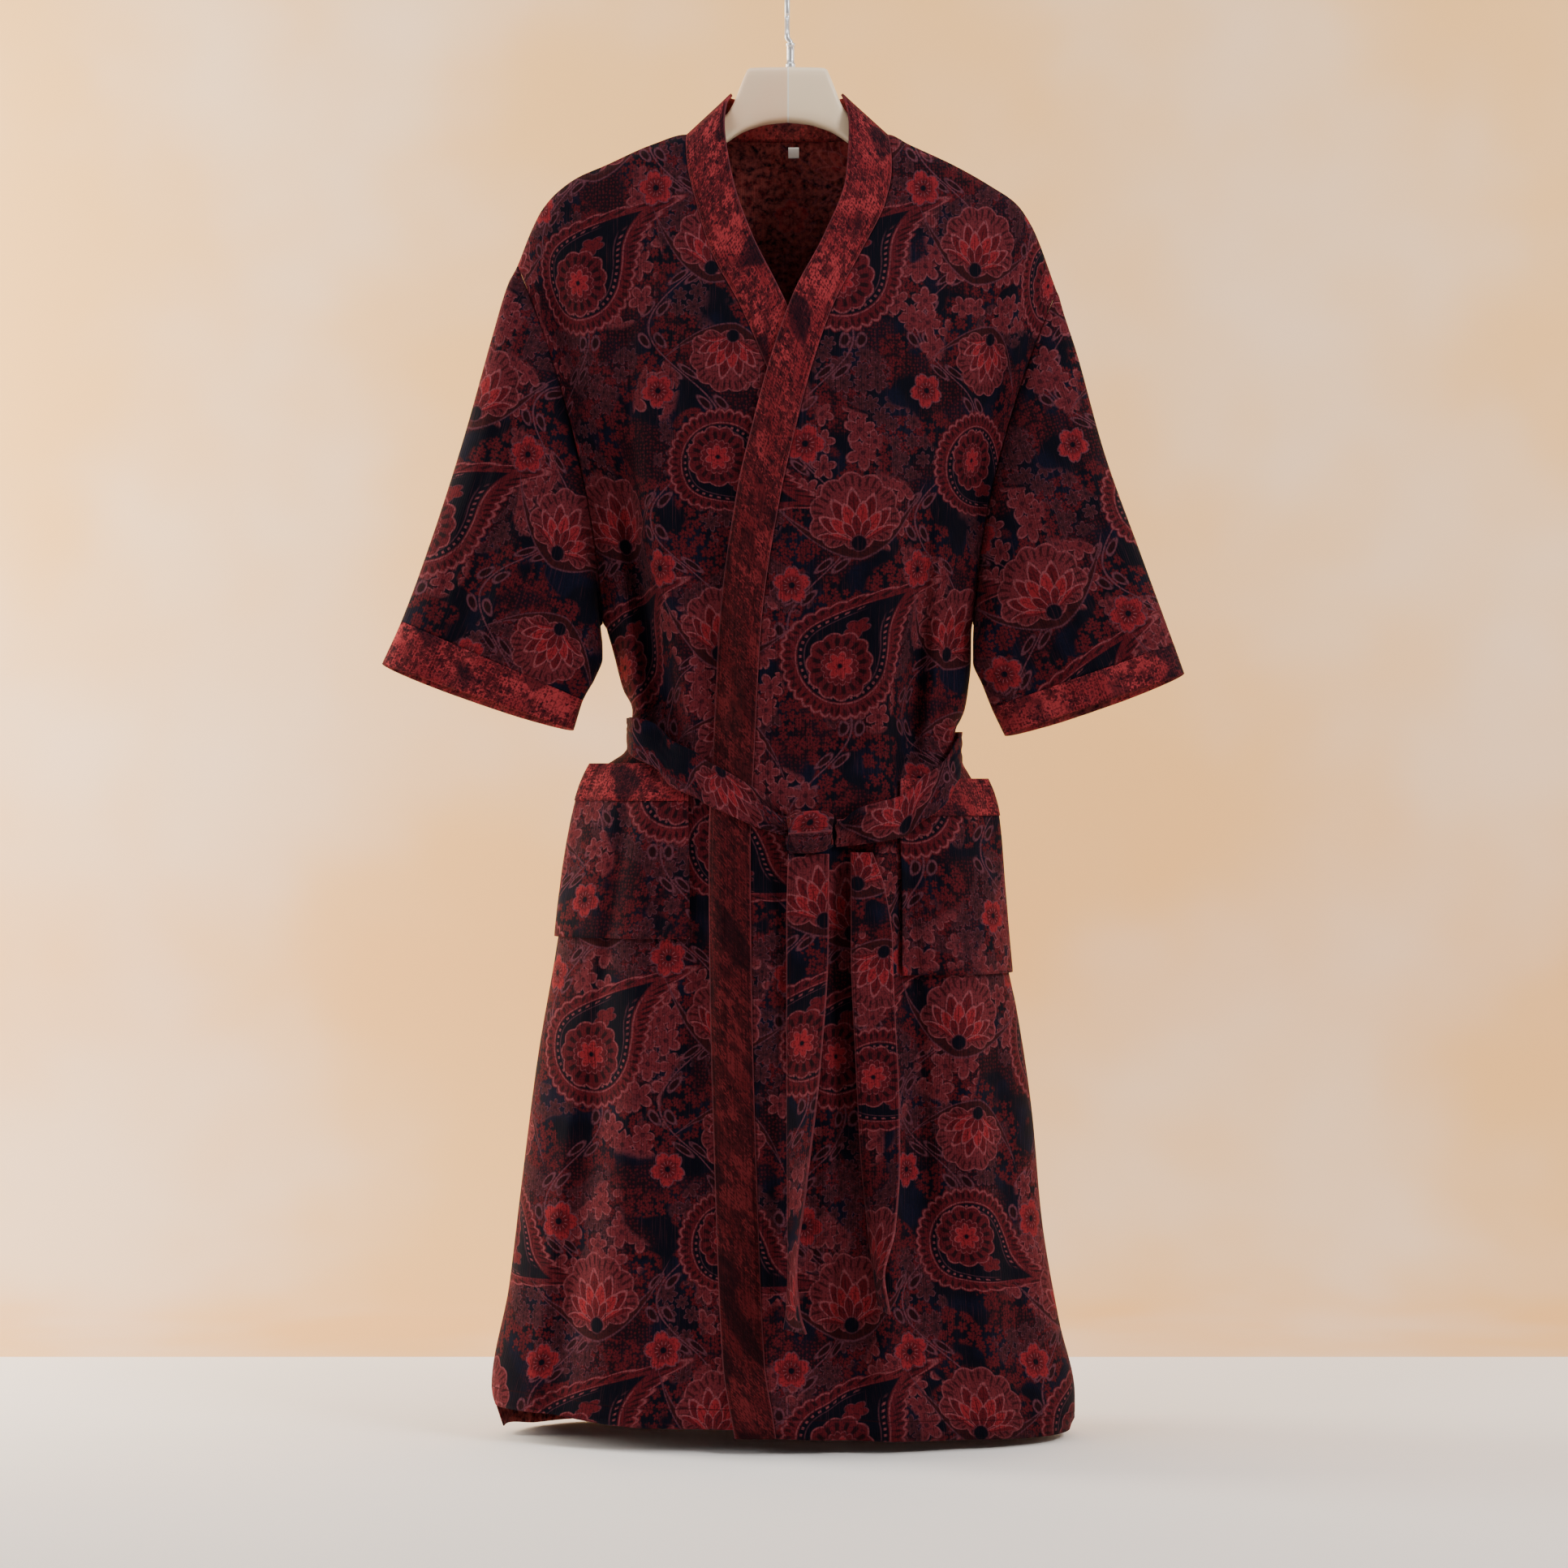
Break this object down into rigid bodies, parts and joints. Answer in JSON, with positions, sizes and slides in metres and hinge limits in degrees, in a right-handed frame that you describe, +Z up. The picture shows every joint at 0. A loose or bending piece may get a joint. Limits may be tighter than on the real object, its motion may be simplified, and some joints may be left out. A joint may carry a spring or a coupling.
{
  "type": "kimono robe on hanger",
  "caption": "Mid-calf wrap robe with kimono collar band, three-quarter sleeves, two patch pockets and a tied belt, on a wide hanger with a swivel hook.",
  "frame": {"origin": "underside of the top of the hook's crook, where a rail carries the hanger", "axes": "+Z up, -Y out of the robe's front, +X towards the wearer's left"},
  "size_m": [0.7385, 0.2614, 1.3299],
  "materials": {
    "print_cloth": "matte printed woven cloth with fine upright slub lines",
    "border_cloth": "matte printed border cloth",
    "tag_cloth": "smooth woven tape",
    "hanger_plastic": "satin",
    "hook_metal": "polished"
  },
  "bodies": {
    "root": {"back": "print_cloth", "right_front": "print_cloth", "left_front": "print_cloth", "collar_band_right": "border_cloth", "collar_band_left": "border_cloth", "collar_band_back": "border_cloth", "right_sleeve": "print_cloth", "left_sleeve": "print_cloth", "right_cuff": "border_cloth", "left_cuff": "border_cloth", "right_pocket": "print_cloth", "left_pocket": "print_cloth", "right_pocket_trim": "border_cloth", "left_pocket_trim": "border_cloth", "belt_right_front": "print_cloth", "belt_left_front": "print_cloth", "belt_back": "print_cloth", "belt_knot": "print_cloth", "belt_tail_a": "print_cloth", "belt_tail_b": "print_cloth", "neck_tag": "tag_cloth", "hanger": "hanger_plastic", "hook": "hook_metal", "ferrule": "hook_metal"}
  },
  "joints": []
}
